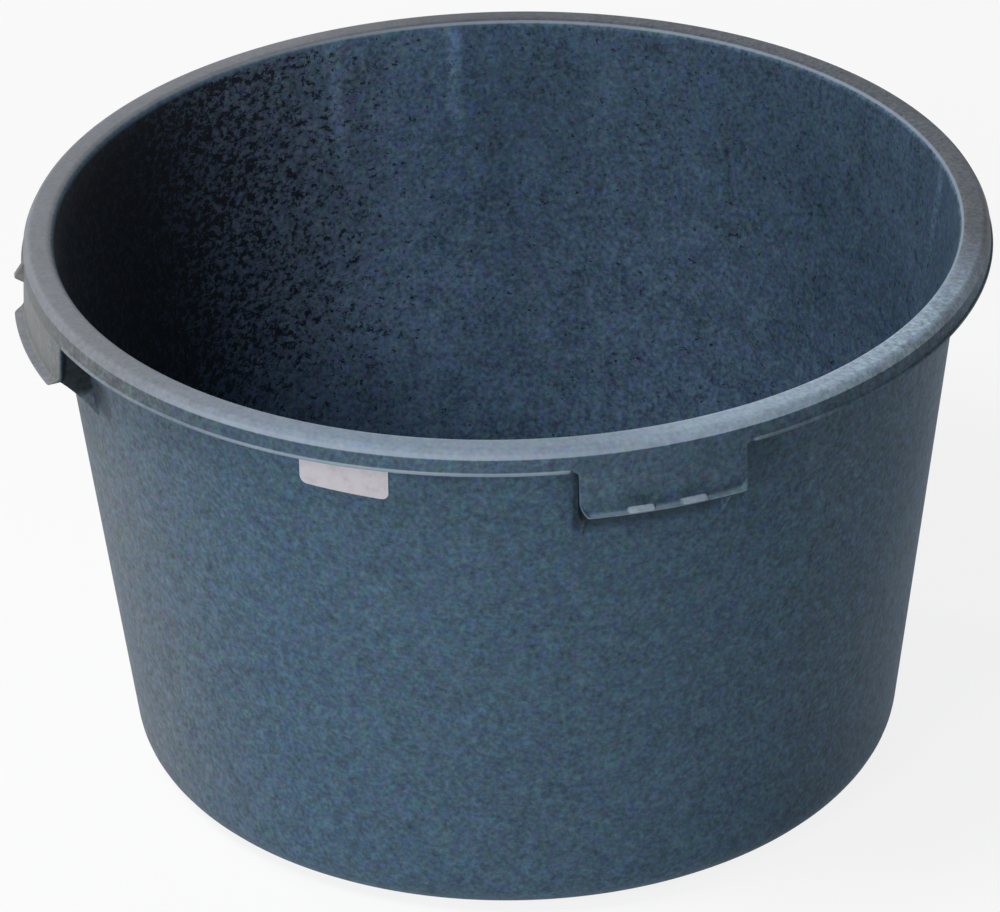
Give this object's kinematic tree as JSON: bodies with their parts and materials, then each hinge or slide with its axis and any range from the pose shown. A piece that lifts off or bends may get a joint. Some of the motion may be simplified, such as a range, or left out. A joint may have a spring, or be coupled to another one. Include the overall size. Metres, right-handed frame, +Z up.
{
  "type": "mixing tub",
  "caption": "Round moulded plastic tub for mixing and carrying mortar or cement, with a tapered wall, a turned-down rim and hand grips under the rim.",
  "frame": {"origin": "on the ground under the middle of the tub", "axes": "+Z up along the axis of the tub, -Y through the front grip, +X through the right grip"},
  "size_m": [0.6682, 0.6682, 0.39],
  "materials": {
    "body": "fine grained blue-grey polyethylene, slightly scuffed",
    "label": "off-white film sticker, bare"
  },
  "bodies": {
    "root": {"floor": "body", "heel": "body", "wall": "body", "rim_flange": "body", "rim_skirt": "body", "grip_front": "body", "grip_left": "body", "grip_back": "body", "grip_right": "body", "label": "label"}
  },
  "joints": []
}
